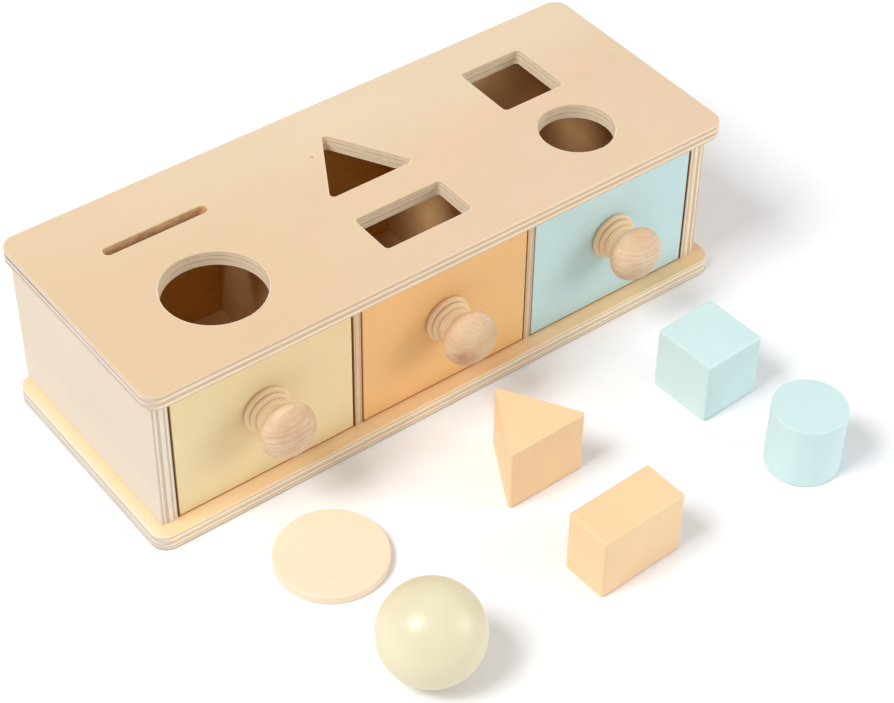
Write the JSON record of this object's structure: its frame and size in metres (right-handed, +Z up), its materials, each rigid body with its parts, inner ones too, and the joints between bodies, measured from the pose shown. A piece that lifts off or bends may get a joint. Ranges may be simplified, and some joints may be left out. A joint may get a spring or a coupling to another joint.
{
  "type": "shape sorter",
  "caption": "Wooden shape sorter: plywood box with shaped openings in the top over drawers with turned knobs, and loose painted shapes in front.",
  "frame": {"origin": "centre of the base panel's underside, on the floor", "axes": "+X along the length, to the right seen from the drawer side; the drawers open towards -Y; +Z up"},
  "size_m": [0.353, 0.296, 0.1016],
  "materials": {
    "plywood": "sanded, clear satin lacquer",
    "beech": "turned and sanded",
    "dowel_wood": "plain",
    "steel": "zinc plated",
    "yellow_paint": "satin paint on wood, pale yellow",
    "orange_paint": "satin paint on wood, pastel orange",
    "blue_paint": "satin paint on wood, pastel blue",
    "pale_yellow_paint": "satin paint on wood",
    "cream_paint": "satin paint on wood",
    "pastel_orange_paint": "satin paint on wood",
    "pastel_blue_paint": "satin paint on wood"
  },
  "bodies": {
    "cabinet": {"base_panel": "plywood", "top_panel": "plywood", "left_side_panel": "plywood", "right_side_panel": "plywood", "left_divider": "plywood", "right_divider": "plywood", "back_panel": "plywood", "base_screws": "steel", "top_dowels": "dowel_wood"},
    "yellow_drawer": {"yellow_front": "yellow_paint", "yellow_left_wall": "plywood", "yellow_right_wall": "plywood", "yellow_rear_wall": "plywood", "yellow_bottom": "plywood", "yellow_knob": "beech", "yellow_knob_screw": "steel", "yellow_dowels": "dowel_wood", "yellow_bottom_pins": "steel"},
    "orange_drawer": {"orange_front": "orange_paint", "orange_left_wall": "plywood", "orange_right_wall": "plywood", "orange_rear_wall": "plywood", "orange_bottom": "plywood", "orange_knob": "beech", "orange_knob_screw": "steel", "orange_dowels": "dowel_wood", "orange_bottom_pins": "steel"},
    "blue_drawer": {"blue_front": "blue_paint", "blue_left_wall": "plywood", "blue_right_wall": "plywood", "blue_rear_wall": "plywood", "blue_bottom": "plywood", "blue_knob": "beech", "blue_knob_screw": "steel", "blue_dowels": "dowel_wood", "blue_bottom_pins": "steel"},
    "coin_disc": {"coin_disc": "pale_yellow_paint"},
    "ball": {"ball": "cream_paint"},
    "triangular_prism": {"triangular_prism": "pastel_orange_paint"},
    "rectangular_block": {"rectangular_block": "pastel_orange_paint"},
    "cube": {"cube": "pastel_blue_paint"},
    "cylinder": {"cylinder": "pastel_blue_paint"}
  },
  "joints": [
    {"name": "yellow_drawer_slide", "type": "slide", "parent": "cabinet", "child": "yellow_drawer", "axis": [0, -1, 0], "range_m": [0, 0.088]},
    {"name": "orange_drawer_slide", "type": "slide", "parent": "cabinet", "child": "orange_drawer", "axis": [0, -1, 0], "range_m": [0, 0.041]},
    {"name": "blue_drawer_slide", "type": "slide", "parent": "cabinet", "child": "blue_drawer", "axis": [0, -1, 0], "range_m": [0, 0.054]},
    {"name": "coin_disc_lift", "type": "slide", "parent": "cabinet", "child": "coin_disc", "axis": [0, -0.2, 0.9798], "range_m": [0, 0.115]},
    {"name": "ball_lift", "type": "slide", "parent": "cabinet", "child": "ball", "axis": [0, 0, 1], "range_m": [0, 0.115]},
    {"name": "triangular_prism_lift", "type": "slide", "parent": "cabinet", "child": "triangular_prism", "axis": [0, 0, 1], "range_m": [0, 0.115]},
    {"name": "rectangular_block_lift", "type": "slide", "parent": "cabinet", "child": "rectangular_block", "axis": [0, 0, 1], "range_m": [0, 0.115]},
    {"name": "cube_lift", "type": "slide", "parent": "cabinet", "child": "cube", "axis": [0, 0, 1], "range_m": [0, 0.115]},
    {"name": "cylinder_lift", "type": "slide", "parent": "cabinet", "child": "cylinder", "axis": [0, 0, 1], "range_m": [0, 0.115]}
  ]
}
